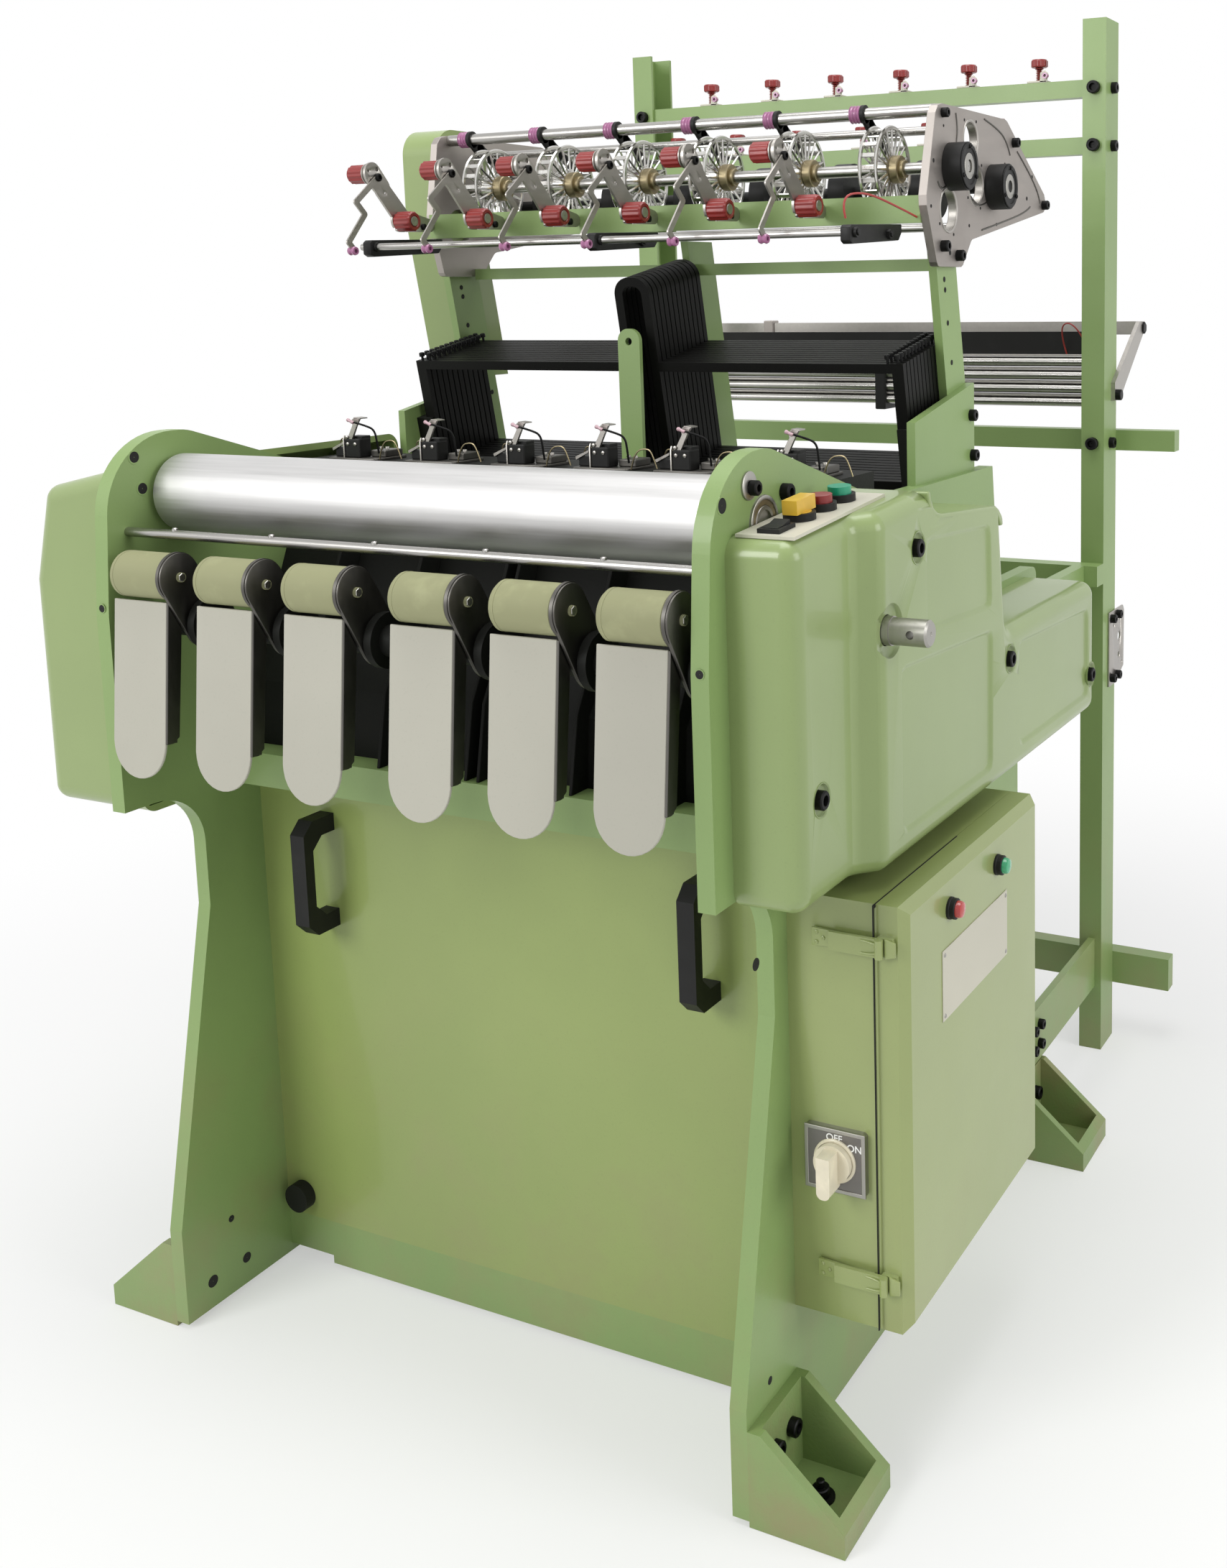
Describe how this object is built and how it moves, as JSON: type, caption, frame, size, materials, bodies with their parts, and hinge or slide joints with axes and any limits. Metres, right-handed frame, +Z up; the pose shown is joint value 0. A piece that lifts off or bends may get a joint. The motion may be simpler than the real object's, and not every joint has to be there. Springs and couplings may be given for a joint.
{
  "type": "narrow fabric needle loom",
  "caption": "Floor-standing narrow fabric power loom with tape outlets, heald frames, yarn feeder, rear creel, gear cover and switch cabinet.",
  "frame": {"origin": "on the floor, under the middle of the machine's outline", "axes": "+X to the weaver's right along the take-up roller, +Y to the back towards the creel, +Z up"},
  "size_m": [1.0243, 1.283, 1.52],
  "materials": {
    "green_moulding": "gloss",
    "black_plastic": "matte",
    "green_paint": "gloss",
    "white_plate": "matte",
    "steel": "satin",
    "aluminium": "satin",
    "black_paint": "satin",
    "chrome": "polished",
    "green_plastic": "gloss",
    "heald_black": "matte",
    "red_plastic": "gloss",
    "cream_plastic": "gloss",
    "rubber_olive": "matte",
    "yellow_plastic": "gloss",
    "grey_sheet": "satin"
  },
  "bodies": {
    "loom_frame": {"belt_guard": "green_moulding", "button_bezels": "black_plastic", "cabinet_body": "green_paint", "centre_supports": "green_paint", "control_plate": "white_plate", "creel_posts": "green_paint", "creel_rails": "green_paint", "cross_ties": "green_paint", "drop_wire_bar": "aluminium", "drop_wire_unit": "black_paint", "feeder_hubs": "black_plastic", "feeder_plate_left": "aluminium", "feeder_plate_right": "aluminium", "feeder_rods": "chrome", "frame_guides": "black_paint", "front_panel": "green_paint", "gear_cover_right": "green_moulding", "guide_rod": "chrome", "head_beam": "black_paint", "machine_feet": "green_paint", "machine_screws": "black_paint", "main_switch_plate": "black_plastic", "outlet_brackets": "steel", "outlet_shaft": "black_paint", "panel_bumper": "black_plastic", "panel_handles": "black_plastic", "roller_bearings": "steel", "side_cover_left": "green_moulding", "side_plate_left": "green_paint", "side_plate_right": "green_paint", "stop_motion_rail": "black_paint", "tape_chutes": "grey_sheet", "tension_arms": "steel", "tension_dials": "red_plastic", "upper_crossbars": "green_paint", "upright_left": "green_paint", "upright_right": "green_paint", "weaving_heads": "black_paint", "yarn_tensioners": "red_plastic"},
    "takeup_roller": {"takeup_roller": "aluminium"},
    "drive_shaft": {"drive_shaft": "steel"},
    "feed_wheel_shaft": {"feed_wheel_shaft": "aluminium"},
    "second_feed_shaft": {"second_feed_shaft": "black_plastic"},
    "heald_frames_odd": {"heald_frames_odd": "heald_black"},
    "heald_frames_even": {"heald_frames_even": "heald_black"},
    "cabinet_door": {"cabinet_door": "green_paint", "indicator_lamps": "red_plastic"},
    "latch_upper": {"latch_upper": "green_paint"},
    "latch_lower": {"latch_lower": "green_paint"},
    "main_switch_knob": {"main_switch_knob": "cream_plastic"},
    "rocker_switch": {"rocker_switch": "black_plastic"},
    "selector_handle": {"selector_handle": "yellow_plastic"},
    "red_button": {"red_button": "red_plastic"},
    "green_button": {"green_button": "green_plastic"},
    "outlet_roller_1": {"outlet_roller_1": "rubber_olive"},
    "outlet_roller_2": {"outlet_roller_2": "rubber_olive"},
    "outlet_roller_3": {"outlet_roller_3": "rubber_olive"},
    "outlet_roller_4": {"outlet_roller_4": "rubber_olive"},
    "outlet_roller_5": {"outlet_roller_5": "rubber_olive"},
    "outlet_roller_6": {"outlet_roller_6": "rubber_olive"}
  },
  "joints": [
    {"name": "takeup_spin", "type": "hinge", "parent": "loom_frame", "child": "takeup_roller", "pos_m": [0, -0.524, 0.943], "axis": [1, 0, 0], "continuous": true},
    {"name": "drive_shaft_spin", "type": "hinge", "parent": "loom_frame", "child": "drive_shaft", "pos_m": [0.46, -0.447, 0.836], "axis": [1, 0, 0], "continuous": true},
    {"name": "outlet_roller_1_spin", "type": "hinge", "parent": "loom_frame", "child": "outlet_roller_1", "pos_m": [-0.298, -0.616, 0.87], "axis": [1, 0, 0], "continuous": true},
    {"name": "outlet_roller_2_spin", "type": "hinge", "parent": "loom_frame", "child": "outlet_roller_2", "pos_m": [-0.182, -0.616, 0.87], "axis": [1, 0, 0], "continuous": true},
    {"name": "outlet_roller_3_spin", "type": "hinge", "parent": "loom_frame", "child": "outlet_roller_3", "pos_m": [-0.066, -0.616, 0.87], "axis": [1, 0, 0], "continuous": true},
    {"name": "outlet_roller_4_spin", "type": "hinge", "parent": "loom_frame", "child": "outlet_roller_4", "pos_m": [0.066, -0.616, 0.87], "axis": [1, 0, 0], "continuous": true},
    {"name": "outlet_roller_5_spin", "type": "hinge", "parent": "loom_frame", "child": "outlet_roller_5", "pos_m": [0.182, -0.616, 0.87], "axis": [1, 0, 0], "continuous": true},
    {"name": "outlet_roller_6_spin", "type": "hinge", "parent": "loom_frame", "child": "outlet_roller_6", "pos_m": [0.298, -0.616, 0.87], "axis": [1, 0, 0], "continuous": true},
    {"name": "feed_wheel_spin", "type": "hinge", "parent": "loom_frame", "child": "feed_wheel_shaft", "pos_m": [0, -0.054, 1.286], "axis": [1, 0, 0], "continuous": true},
    {"name": "second_feed_spin", "type": "hinge", "parent": "loom_frame", "child": "second_feed_shaft", "pos_m": [0, 0.078, 1.27], "axis": [1, 0, 0], "continuous": true},
    {"name": "heald_odd_lift", "type": "slide", "parent": "loom_frame", "child": "heald_frames_odd", "axis": [0, -0.1908, 0.9816], "range_m": [-0.015, 0.015]},
    {"name": "heald_even_lift", "type": "slide", "parent": "loom_frame", "child": "heald_frames_even", "axis": [0, -0.1908, 0.9816], "range_m": [-0.015, 0.015]},
    {"name": "door_hinge", "type": "hinge", "parent": "loom_frame", "child": "cabinet_door", "pos_m": [0.4623, -0.136, 0.3775], "axis": [0, 0, 1], "range_deg": [0, 110]},
    {"name": "latch_upper_hinge", "type": "hinge", "parent": "cabinet_door", "child": "latch_upper", "pos_m": [0.4703, -0.5073, 0.551], "axis": [0, 0, 1], "range_deg": [0, 120]},
    {"name": "latch_lower_hinge", "type": "hinge", "parent": "cabinet_door", "child": "latch_lower", "pos_m": [0.4703, -0.5073, 0.216], "axis": [0, 0, 1], "range_deg": [0, 120]},
    {"name": "main_switch_turn", "type": "hinge", "parent": "loom_frame", "child": "main_switch_knob", "pos_m": [0.42, -0.513, 0.331], "axis": [0, 1, 0], "range_deg": [0, 45]},
    {"name": "rocker_tilt", "type": "hinge", "parent": "loom_frame", "child": "rocker_switch", "pos_m": [0.403, -0.56068, 0.94775], "axis": [1, 0, 0], "range_deg": [-16, 0]},
    {"name": "selector_turn", "type": "hinge", "parent": "loom_frame", "child": "selector_handle", "pos_m": [0.403, -0.5165, 0.94734], "axis": [0, -0.0815, 0.9967], "range_deg": [0, 90]},
    {"name": "red_button_press", "type": "slide", "parent": "loom_frame", "child": "red_button", "axis": [0, 0.0815, -0.9967], "range_m": [0, 0.004], "stiffness_N_per_m": 400},
    {"name": "green_button_press", "type": "slide", "parent": "loom_frame", "child": "green_button", "axis": [0, 0.0815, -0.9967], "range_m": [0, 0.004], "stiffness_N_per_m": 400}
  ],
  "couplings": [
    {"joint": "feed_wheel_spin", "follows": "takeup_spin", "ratio": 0.84},
    {"joint": "second_feed_spin", "follows": "takeup_spin", "ratio": -1.1667},
    {"joint": "heald_even_lift", "follows": "heald_odd_lift", "ratio": -1}
  ]
}
